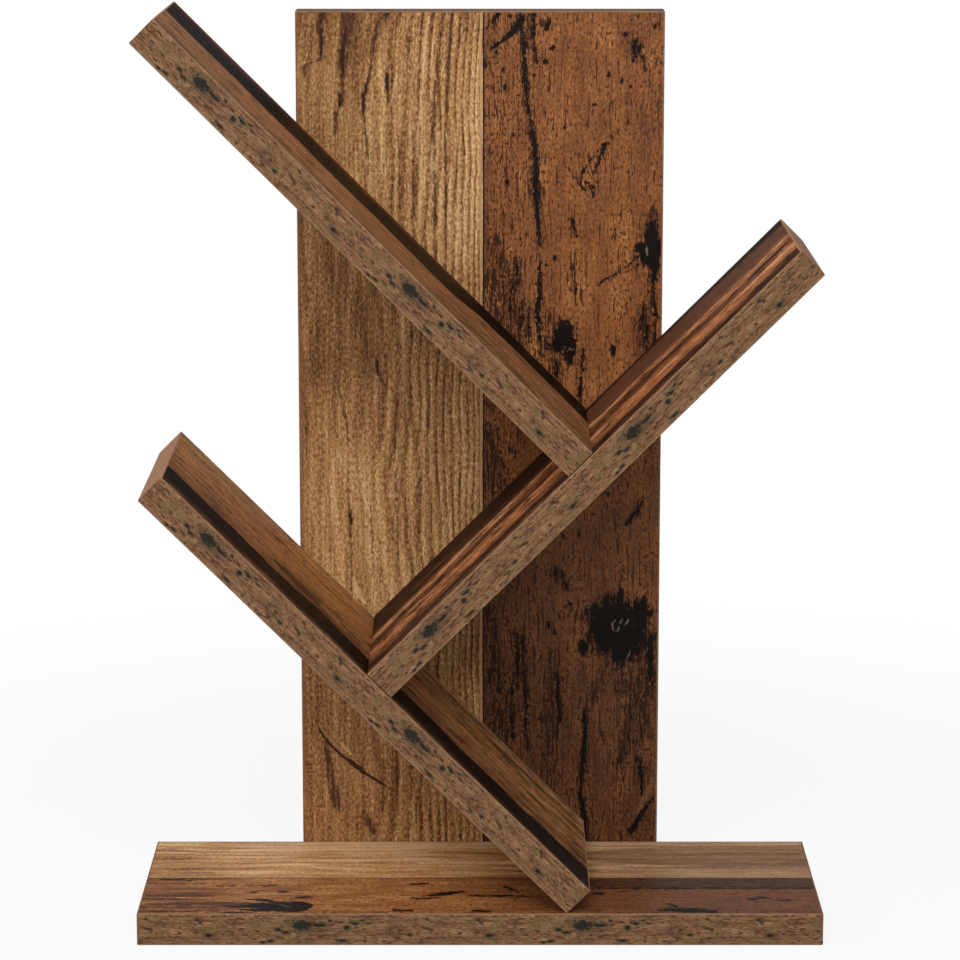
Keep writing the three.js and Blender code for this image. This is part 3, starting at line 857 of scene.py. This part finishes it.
def base_red_material():
    g = graph_of("base_red_plank", other_face=True)
    rag = ragged(g, 69, 2.0)
    cracks = strokes(g, BASE_CRACKS, on_base)
    stains = g.step(strokes(g, BASE_STAINS_AND_PAINTED_SHADE, on_base) + rag * 1.8, -1.0, 1.4)
    front = g.step(g.v, 16, 2) * 0.3
    density = g.math("MINIMUM", g.step(cracks, -4.0, 0.0) * 0.5 + stains * 0.5 + front, 1.0)
    tone, pores, height = red_plank(g, 61, density, (56, 3.4))
    lines = g.noise(g.place, (34, 2.6), 67, 3, 0.65)
    left = g.step(g.u, 110, 30)
    tone = tone + lines * (left * 0.5 + 0.16)
    # The right part of the front plank is printed darker and browner: partly print, partly painted shade.
    right = g.step(g.u, 150, 222)
    middle = g.near(g.u, 90, 75, 30)
    base = g.ramp(tone - stains * 0.18 + 0.13 + middle * 0.1 - right * 0.22 - front * 0.2, RED)
    base = g.mix(right * 0.45, base, (106, 67, 46))
    base = g.mix(pores * 0.75, base, (34, 18, 12))
    base = g.mix(stains * 0.45, base, (50, 29, 25))
    base = ink(g, base, cracks + rag * 1.6, 0.7)
    # Painted glints on the knot of the base.
    base = g.mix(g.step(strokes(g, BASE_PAINTED_GLINTS, on_base), -0.2, 0.4) * 0.6, base, (124, 92, 72))
    base = g.mix(g.step(g.v, BASE_SEAM - 1.2, BASE_SEAM - 0.3) * 0.7, base, (60, 34, 22))
    base = old_marks(g, base, 76)
    return paper(g, base, pores, height)


def branch_material(name, bands, seed, lights, tints, contrast=1.0, patches=0.5, shift=(0, 1, 0)):
    """A branch's faces: long bands side by side, from its front edge (0) to its back edge (1).

    The lights are painted light: how much lighter the faces are printed at the left and at the right
    end, for the light that falls there. The shift is where along the branch the bands start and end
    to move, and how far towards the front, in mm. A tint is a set of marks, their colour and how much
    of it shows.
    """
    g = graph_of(name, other_face=True)
    sway = g.noise(g.place, (150, 60), seed, 1) * 4.0
    wave = g.noise(g.place, (30, 14), seed + 1, 4, 0.7) * 4.0
    across = g.v + sway + wave + g.step(g.u, shift[0], shift[1]) * shift[2]
    place = g.join(g.u, across)
    streaks = g.noise(place, (36, 6), seed + 2, 4, 0.7)
    patch = g.noise(place, (12, 5), seed + 8, 4, 0.7)
    lines = g.noise(place, (75, 2.2), seed + 3, 3, 0.65)
    fibre = g.noise(place, (8, 1.1), seed + 5, 3, 0.75)
    rings = g.curve(g.math("FRACT", across / 5.2 + streaks * 1.4), RING)
    base = g.ramp(across / DEPTH + streaks * 0.06, bands)
    # Painted light: the faces are printed lighter towards one end.
    painted_light = g.step(g.u, 0, 260) * (lights[1] - lights[0]) + lights[0]
    relief = streaks * 0.46 + lines * 0.6 + fibre * 0.46 + rings * 0.12
    light = 0.44 + painted_light + relief * contrast + patch * patches
    grey = g.ramp(light, ((0.0, (20, 20, 20)), (1.0, (235, 235, 235))))
    base = g.mix(0.85, base, grey, "OVERLAY")
    rag = ragged(g, seed + 9, 1.6)
    for marks, shade, share in tints:
        inside = g.step(strokes(g, marks, on_branch) + rag * 2.4, -1.2, 1.6)
        base = g.mix(inside * share, base, shade)
    flecks = specks(g, place, (16, 4.5), seed + 4, lines * 0.3)
    pores = specks(g, place, (5.0, 1.0), seed + 6, streaks * 0.25 + 0.02)
    base = g.mix(flecks * 0.5, base, (34, 20, 14))
    base = g.mix(pores * 0.6, base, (28, 17, 12))
    base = old_marks(g, base, seed + 7)
    return paper(g, base, pores, fibre + rings, BRANCH_GLOSS)


UPPER_BANDS = (
    (0.0, (142, 100, 68)), (0.03, (116, 78, 50)), (0.08, (148, 101, 66)), (0.3, (154, 105, 69)),
    (0.5, (156, 107, 72)), (0.525, (166, 108, 64)), (0.545, (50, 34, 23)), (0.575, (20, 14, 9)),
    (0.8, (18, 12, 7)), (0.87, (32, 19, 11)), (0.93, (88, 50, 28)), (1.0, (82, 46, 27)),
)
LOWER_BANDS = (
    (0.0, (122, 84, 59)), (0.03, (72, 45, 31)), (0.07, (28, 18, 13)), (0.255, (26, 16, 11)),
    (0.29, (130, 88, 56)), (0.34, (120, 78, 50)), (0.42, (142, 96, 60)), (0.6, (162, 110, 68)),
    (0.76, (160, 110, 68)), (0.9, (168, 120, 78)), (1.0, (168, 125, 86)),
)
RIGHT_BANDS = (
    (0.0, (138, 96, 68)), (0.035, (88, 56, 38)), (0.07, (54, 32, 20)), (0.13, (60, 35, 22)),
    (0.19, (132, 80, 48)), (0.26, (170, 108, 68)), (0.32, (176, 118, 78)), (0.38, (132, 80, 50)),
    (0.43, (96, 56, 34)), (0.48, (106, 62, 38)), (0.53, (150, 96, 62)), (0.59, (186, 130, 88)),
    (0.63, (120, 72, 46)), (0.69, (56, 31, 19)), (0.82, (48, 28, 18)), (1.0, (42, 24, 14)),
)
UPPER_TINTS = ((UPPER_MARKS, DARK, 0.6),)
LOWER_TINTS = ((LOWER_GOLD, (186, 126, 70), 0.35), (LOWER_MARKS, DARK, 0.7))
RIGHT_TINTS = (
    (RIGHT_BACK, (124, 80, 56), 0.6), (RIGHT_FRONT, (176, 112, 72), 0.5),
    (RIGHT_LIGHTS, (222, 172, 128), 0.65), (RIGHT_MARKS, DARK, 0.75),
)


def strip_grain(g, place):
    """Colour of the strips' plain print, and its relief: fine streaks, dark dashes and worm holes."""
    streaks = g.noise(place, (14.0, 1.0), 81, 3, 0.65)
    broad = g.noise(place, (20, 4), 82)
    grain = g.noise(place, (2.4, 0.7), 83, 3, 0.75)
    base = g.ramp(0.475 + streaks * 0.36 + broad * 0.2 + grain * 0.38, STRIP)
    spread = g.noise(place, (8.0, 1.3), 84, 2, 0.65)
    base = g.mix(g.step(spread + broad * 0.3, 0.1, 0.5) * 0.5, base, (46, 30, 20))
    olive = g.step(g.noise(place, (13, 4), 88, 3), -0.1, 0.4)
    base = g.mix(olive * 0.4, base, (116, 96, 62))
    worms = g.step(abs(g.noise(place, (6.0, 2.2), 86)), 0.14, 0.04)
    worms = worms * g.step(g.noise(place, (9, 4), 87), -0.05, 0.1)
    dashes = specks(g, place, (4.6, 1.5), 89, broad * 0.3 + 0.02)
    base = g.mix(g.math("MAXIMUM", worms * 0.6, dashes) * 0.8, base, (42, 29, 20))
    return base, streaks, grain


def strip_material(name, start, blotched=True):
    """The print of the edge strips, with blotches that repeat, or plain and paler for an end."""
    g = graph_of(name)
    turn = g.math("WRAP", g.u + g.v + start, STRIP_REPEAT, 0.0)
    place = g.join(turn, g.w)
    base, streaks, grain = strip_grain(g, place)
    if blotched:
        rag = g.noise(place, (2.8, 1.2), 85, 3, 0.75)
        ovals = (from_oval(g, place, *blotch) for blotch in STRIP_BLOTCHES)
        blotch = g.pick("MINIMUM", ovals) + rag * 1.1
        base = g.mix(g.step(blotch, 1.9, 0.9) * 0.5, base, (66, 55, 38))
        base = g.mix(g.step(blotch, 1.05, 0.6) * 0.92, base, (20, 23, 19))
    else:
        base = g.mix(0.5, base, (204, 147, 112))
    half = THICKNESS / 2
    # The pale band at both arrises is partly wear and partly a painted highlight of the rounded edge.
    arris = g.near(g.w, half, half - 0.9, half - 0.4)
    base = g.mix(arris * 0.3, base, (172, 130, 98))
    return g.finish(base, 0.48 + streaks * 0.06, streaks + grain, RELIEF, STRIP_GLOSS)


def steel_material():
    g = graph_of("bright_zinc")
    rings = g.noise(g.join(g.vector("LENGTH", g.place), g.w), (0.12, 2.0), 91)
    worn = g.noise(g.place, (1.2, 1.2), 92, 3)
    base = g.ramp(0.5 + worn * 0.4 + rings * 0.15, ((0.0, (150, 150, 148)), (1.0, (206, 208, 212))))
    g.nodes["Principled BSDF"].inputs["Metallic"].default_value = 1.0
    return g.finish(base, 0.3 + worn * 0.12 + rings * 0.06, rings, 0.01)


def beech_material():
    g = graph_of("beech")
    fibre = g.noise(g.join(g.u + g.w, g.v), (9.0, 0.6), 95, 3)
    base = g.ramp(0.5 + fibre * 0.6, ((0.0, (176, 138, 98)), (1.0, (232, 204, 164))))
    return g.finish(base, 0.6 + fibre * 0.1, fibre, 0.02)


def add_object(name, data):
    made = bpy.data.objects.new(name, data)
    bpy.context.scene.collection.objects.link(made)
    return made


def mesh_of(made, name):
    """Ends the making of a mesh, and returns it."""
    mesh = bpy.data.meshes.new(name)
    made.to_mesh(mesh)
    made.free()
    return mesh


def place_piece(name, mesh, place, node):
    """Puts a piece in its place, says what it rides on, and hides the CAD node that it stands for."""
    piece = add_object(name, mesh)
    piece.matrix_world = place
    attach(piece, "root")
    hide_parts(node)
    return piece


def local_box(node, axes):
    """Lowest and highest corner of a CAD node along a board's axes."""
    back = axes.transposed()
    points = [back @ vertex.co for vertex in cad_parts[node].data.vertices]
    low = Vector(min(point[i] for point in points) for i in range(3))
    high = Vector(max(point[i] for point in points) for i in range(3))
    return low, high


def close_gaps(box, others):
    """Stretches a box over the glue to its neighbours, but not across a strip's thin side."""
    low, high = box
    for axis in range(3):
        if high[axis] - low[axis] < STRIP_MOST:
            continue
        for other_low, other_high in others:
            if 0 < low[axis] - other_high[axis] < GLUE_MOST:
                low[axis] = other_high[axis]
            if 0 < other_low[axis] - high[axis] < GLUE_MOST:
                high[axis] = other_low[axis]


def rounding(edge, far):
    """Share of the arris that an edge gets: all of it on an outer edge of the whole board."""
    outside = 0
    for axis in range(3):
        for end in (0.0, far[axis]):
            outside += all(abs(vertex.co[axis] - end) < SAME_PLANE for vertex in edge.verts)
    return 1.0 if outside > 1 else JOINT_SHARE


def cut_seam(made, weight, seam):
    """Parts a board at its seam. The plank beyond it gets the second material."""
    cut = bmesh.ops.bisect_plane(
        made, geom=made.verts[:] + made.edges[:] + made.faces[:],
        plane_co=(0, seam, 0), plane_no=(0, 1, 0))
    for edge in cut["geom_cut"]:
        if isinstance(edge, bmesh.types.BMEdge):
            edge[weight] = 0.0
    for face in made.faces:
        face.material_index = int(face.calc_center_median().y > seam)


def block(name, box, far, seam):
    """A mesh of a board or strip, with how much each of its edges is rounded."""
    low, high = box
    made = bmesh.new()
    bmesh.ops.create_cube(made, size=1.0)
    half = Vector((0.5, 0.5, 0.5))
    for vertex in made.verts:
        share = vertex.co + half
        vertex.co = low + Vector(share[i] * (high[i] - low[i]) for i in range(3))
    weight = made.edges.layers.float.new("bevel_weight_edge")
    for edge in made.edges:
        edge[weight] = rounding(edge, far)
    if seam is not None:
        cut_seam(made, weight, seam)
    for face in made.faces:
        face.smooth = True
    return mesh_of(made, name)


def add_block(node, box, far, place, materials, seam=None):
    """Puts a rounded board or strip where its CAD node is."""
    mesh = block(node + "_print", box, far, seam)
    for material in materials:
        mesh.materials.append(material)
    piece = place_piece(node + "_print", mesh, place, node)
    bevel = piece.modifiers.new("arris", "BEVEL")
    bevel.limit_method = "WEIGHT"
    bevel.width = ARRIS
    bevel.segments = ARRIS_STEPS
    bevel.harden_normals = True
    return piece


def make_board(node, prefix, axes, faces, strip_print, end_print, seam=None):
    """A board and its edge strips, those at an end with a print of their own. Returns the board."""
    strips = [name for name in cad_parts
              if name.startswith(prefix) and name.endswith("_edge_strip")]
    boxes = {name: local_box(name, axes) for name in [node] + strips}
    corner = Vector(min(low[i] for low, high in boxes.values()) for i in range(3))
    far = Vector(max(high[i] for low, high in boxes.values()) for i in range(3)) - corner
    boxes = {name: (low - corner, high - corner) for name, (low, high) in boxes.items()}
    for name, box in boxes.items():
        close_gaps(box, [other for key, other in boxes.items() if key != name])
    place = Matrix.Translation(axes @ corner) @ axes.to_4x4()
    for name in strips:
        end = name.endswith(("_tip_edge_strip", "_foot_edge_strip"))
        add_block(name, boxes[name], far, place, [end_print if end else strip_print])
    return add_block(node, boxes[node], far, place, faces, seam)


# Screws. Sizes that the frame doesn't give are those of a 6.3 mm furniture screw.
SCREW_SIDES = 48
HEAD_RIM = 0.6 * MM
HEAD_EDGE = ((0.0, 0.35), (0.12, 0.1), (0.35, 0.0))    # mm down from its face, mm in from its rim
HEX_WIDTH = 4.0 * MM
HEX_DEPTH = 2.2 * MM
HEX_CHAMFER = 0.2 * MM
HEX_MOUTH = 0.3 * MM      # how much wider the socket is at the head's face
SHANK_RADIUS = 3.1 * MM
SHANK_TAPER = 0.1 * MM
PLAIN_SHANK = 9 * MM      # from the head's cone to the thread
THREAD_DEPTH = 0.8 * MM
THREAD_PITCH = 3.0 * MM
THREAD_FLANK = 3.2        # steepness of the thread's flanks
THREAD_STEPS = 8          # rings of the mesh for each turn of the thread
POINT_LENGTH = 3 * MM
POINT_RADIUS = 1.2 * MM
SHARP = math.radians(32)  # edges from this angle on aren't smoothed
HOLE_SLACK = 0.12 * MM
HOLE_CHAMFER = 0.25 * MM
HOLE_OVERRUN = 0.35 * MM  # how far the tool that cuts a hole stands out of the panel

# Turns a screw's own z axis to the way out of the panel's back.
OUTWARD = Matrix(((1, 0, 0), (0, 0, 1), (0, -1, 0))).to_4x4()


def turn_angles():
    return [2 * math.pi * i / SCREW_SIDES for i in range(SCREW_SIDES)]


def round_row(height, radius):
    return [(radius * math.cos(a), radius * math.sin(a), height) for a in turn_angles()]


def hex_row(height, width):
    """A row of points round a hexagon of that width across its flats."""
    row = []
    for angle in turn_angles():
        radius = width / 2 / math.cos(angle % (math.pi / 3) - math.pi / 6)
        row.append((radius * math.cos(angle), radius * math.sin(angle), height))
    return row


def thread_row(height, start):
    """A row of points round a screw thread, whose crest winds with the height."""
    row = []
    for angle in turn_angles():
        turn = ((start - height) / THREAD_PITCH + angle / (2 * math.pi)) % 1.0
        crest = max(0.0, 1 - abs(turn - 0.5) * THREAD_FLANK)
        radius = SHANK_RADIUS - THREAD_DEPTH * (1 - crest)
        row.append((radius * math.cos(angle), radius * math.sin(angle), height))
    return row


def skin(name, rows):
    """A closed mesh through rows of points, each row as long as the next."""
    made = bmesh.new()
    rings = [[made.verts.new(point) for point in row] for row in rows]
    made.faces.new(reversed(rings[0]))
    made.faces.new(rings[-1])
    for lower, upper in zip(rings, rings[1:]):
        for i in range(len(lower)):
            j = (i + 1) % len(lower)
            made.faces.new((lower[i], lower[j], upper[j], upper[i]))
    bmesh.ops.recalc_face_normals(made, faces=made.faces)
    return mesh_of(made, name)


def screw_mesh(length, head_radius):
    """A countersunk screw that points down its own z axis, with its head's face at zero."""
    cone_end = -(head_radius - SHANK_RADIUS) - HEAD_RIM
    shank_end = cone_end - PLAIN_SHANK
    point = -length + POINT_LENGTH
    steps = int((shank_end - point) / THREAD_PITCH * THREAD_STEPS)
    rows = [
        hex_row(-HEX_DEPTH, HEX_WIDTH * 0.5),
        hex_row(-HEX_DEPTH * 0.9, HEX_WIDTH),
        hex_row(-HEX_CHAMFER, HEX_WIDTH),
        hex_row(0, HEX_WIDTH + HEX_MOUTH),
    ]
    rows += [round_row(-down * MM, head_radius - inward * MM) for down, inward in HEAD_EDGE]
    rows += [
        round_row(-HEAD_RIM, head_radius),
        round_row(cone_end, SHANK_RADIUS),
        round_row(shank_end, SHANK_RADIUS - SHANK_TAPER),
    ]
    for i in range(1, steps):
        rows.append(thread_row(shank_end + (point - shank_end) * i / steps, shank_end))
    rows.append(round_row(-length, POINT_RADIUS))
    mesh = skin("screw", rows)
    for polygon in mesh.polygons:
        polygon.use_smooth = True
    mesh.set_sharp_from_angle(angle=SHARP)
    return mesh


def hole_mesh(head_radius, sunk):
    """The countersunk hole of a screw whose face lies that deep, with its mouth at zero."""
    wide = head_radius + HOLE_SLACK
    narrow = SHANK_RADIUS - HOLE_SLACK
    return skin("hole", [
        round_row(-(wide - narrow) - HEAD_RIM - sunk, narrow),
        round_row(-HEAD_RIM - sunk, wide),
        round_row(-HOLE_CHAMFER, wide),
        round_row(HOLE_OVERRUN, wide + HOLE_CHAMFER + HOLE_OVERRUN),
    ])


def add_screws(panel, steel):
    """Puts a screw in place of each CAD screw, and its countersunk hole in the panel's back."""
    names = sorted(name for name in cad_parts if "_screw_" in name)
    panel_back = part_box("back_panel")[1].y
    low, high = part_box(names[0])
    head_radius = (high.x - low.x) / 2
    mesh = screw_mesh(high.y - low.y, head_radius)
    mesh.materials.append(steel)
    mouths = []
    for name in names:
        low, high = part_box(name)
        middle = Vector(((low.x + high.x) / 2, high.y, (low.z + high.z) / 2))
        place_piece(name + "_zinc", mesh, Matrix.Translation(middle) @ OUTWARD, name)
        mouth = Vector((middle.x, panel_back, middle.z))
        mouths.append(Matrix.Translation(mouth) @ OUTWARD)
    cut_holes(panel, hole_mesh(head_radius, panel_back - high.y), mouths)


def cut_holes(panel, hole, places):
    """Takes the holes out of the panel's mesh, with its rounded edges made first."""
    made = bmesh.new()
    for place in places:
        part = bmesh.new()
        part.from_mesh(hole)
        part.transform(place)
        one = mesh_of(part, "one_hole")
        made.from_mesh(one)
        bpy.data.meshes.remove(one)
    tool = add_object("holes", mesh_of(made, "holes"))
    cut = panel.modifiers.new("holes", "BOOLEAN")
    cut.object = tool
    cut.solver = "EXACT"
    bpy.context.view_layer.update()
    shown = panel.evaluated_get(bpy.context.evaluated_depsgraph_get())
    finished = bpy.data.meshes.new_from_object(shown)
    panel.modifiers.clear()
    panel.data = finished
    bpy.data.objects.remove(tool)


# The studio.
FLOOR_HALF = 6.0          # m from the middle of the floor to its edge
FLOOR_WHITE = 0.88        # share of plain white in the floor near the shelf
FADE_START = 260.0        # mm from the middle of the floor to where it starts to turn white
FADE_END = 700.0          # mm from there to where it is plain white
WORLD_LIGHT = 0.3         # strength of the even light from all round
MIRRORED_LOW = 0.1        # its strength in reflections, at eye level
MIRRORED_HIGH = 0.8       # the same, from above
MIRRORED_RISE = (0.12, 0.5)    # where it starts and ends to grow, from level (0) to straight up (1)
LIGHTS = (
    # Name, place, size in m, power in W.
    ("key", (-0.2, -1.7, 1.5), 1.9, 43),
    ("left", (-1.7, -0.9, 0.9), 1.2, 9),
)
LIGHTS_AIM = (0, 0, 0.2)

# The camera stands in front, 1.55 m from the boards' front edges, and looks a little down.
CAMERA_DISTANCE = 1.551
CAMERA_HEIGHT = 0.5305
CAMERA_PITCH = math.radians(11.51)
CAMERA_LENS = 134.9
CAMERA_SENSOR = 36.0


def make_floor():
    """A pale floor that keeps the shelf's shadow, and turns plain white further off."""
    made = bmesh.new()
    bmesh.ops.create_grid(made, x_segments=8, y_segments=8, size=FLOOR_HALF)
    floor = add_object("floor", mesh_of(made, "floor"))
    floor.data.materials.append(floor_material())


def floor_material():
    g = graph_of("floor_white")
    grain = g.noise(g.place, (40, 40), 99, 3)
    shades = ((0.0, (232, 232, 231)), (1.0, (242, 242, 242)))
    g.finish(g.ramp(0.5 + grain * 0.2, shades), 0.7, grain, 0.02)
    glow = g.nodes.new("ShaderNodeEmission")
    path = g.nodes.new("ShaderNodeLightPath")
    far = g.step(g.vector("LENGTH", g.place), FADE_START, FADE_END)
    white = g.math("MULTIPLY_ADD", far, 1 - FLOOR_WHITE, FLOOR_WHITE)
    blend = g.nodes.new("ShaderNodeMixShader")
    g.put(white * Value(g, path.outputs["Is Camera Ray"]), blend.inputs[0])
    g.links.new(g.nodes["Principled BSDF"].outputs[0], blend.inputs[1])
    g.links.new(glow.outputs[0], blend.inputs[2])
    g.links.new(blend.outputs[0], g.nodes["Material Output"].inputs["Surface"])
    return g.owner


def make_world():
    """Soft light from all round, weaker at eye level in reflections, and white where it is seen."""
    world = bpy.data.worlds.new("studio")
    bpy.context.scene.world = world
    g = Graph(world)
    path = g.nodes.new("ShaderNodeLightPath")
    coordinates = g.nodes.new("ShaderNodeTexCoord")
    height = g.split(Value(g, coordinates.outputs["Generated"]))[2]
    mirrored = g.step(height, *MIRRORED_RISE) * (MIRRORED_HIGH - MIRRORED_LOW) + MIRRORED_LOW
    glossy = Value(g, path.outputs["Is Glossy Ray"])
    seen = Value(g, path.outputs["Is Camera Ray"])
    light = WORLD_LIGHT + glossy * (mirrored - WORLD_LIGHT)
    g.nodes["Background"].inputs["Color"].default_value = (1, 1, 1, 1)
    g.put(light + seen * (1.0 - light), g.nodes["Background"].inputs["Strength"])


def add_light(name, place, size, power):
    lamp = bpy.data.lights.new(name, "AREA")
    lamp.shape = "DISK"
    lamp.size = size
    lamp.energy = power
    light = add_object(name, lamp)
    light.location = place
    light.rotation_euler = (Vector(LIGHTS_AIM) - Vector(place)).to_track_quat("-Z", "Y").to_euler()


def make_camera():
    data = bpy.data.cameras.new("camera")
    data.lens = CAMERA_LENS
    data.sensor_width = CAMERA_SENSOR
    camera = add_object("camera", data)
    camera.location = (0, cad_box[0].y - CAMERA_DISTANCE, CAMERA_HEIGHT)
    camera.rotation_euler = (math.radians(90) - CAMERA_PITCH, 0, 0)
    bpy.context.scene.camera = camera


strip_print = strip_material("edge_strip_print", 0.0)
base_strip_print = strip_material("base_strip_print", BASE_STRIP_START)
end_print = strip_material("end_print", 0.0, blotched=False)
FACES = {
    "base_board": [base_red_material(), base_tan_material()],
    "back_panel": [panel_tan_material(), panel_red_material()],
    # The pairs after the seeds are painted light, lighter towards one end of each branch.
    "lower_left_branch": [branch_material(
        "lower_branch_print", LOWER_BANDS, 101, (0.26, -0.06), LOWER_TINTS, contrast=1.5)],
    "right_branch": [branch_material(
        "right_branch_print", RIGHT_BANDS, 111, (-0.02, 0.2), RIGHT_TINTS,
        contrast=1.4, patches=1.8, shift=(120, 230, 4))],
    "upper_left_branch": [branch_material(
        "upper_branch_print", UPPER_BANDS, 121, (0.14, 0.0), UPPER_TINTS, shift=(180, 205, -14))],
}
SEAMS = {"base_board": BASE_SEAM * MM, "back_panel": PANEL_SEAM * MM}

pieces = {}
for node, prefix, axes in BOARDS:
    strips = base_strip_print if node == "base_board" else strip_print
    pieces[node] = make_board(node, prefix, axes, FACES[node], strips, end_print, SEAMS.get(node))
add_screws(pieces["back_panel"], steel_material())

beech = beech_material()
for name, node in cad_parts.items():
    if "_dowel_" in name:
        for slot in node.material_slots:
            slot.material = beech

make_floor()
make_world()
for light in LIGHTS:
    add_light(*light)
make_camera()
bpy.context.scene.view_settings.view_transform = "Standard"
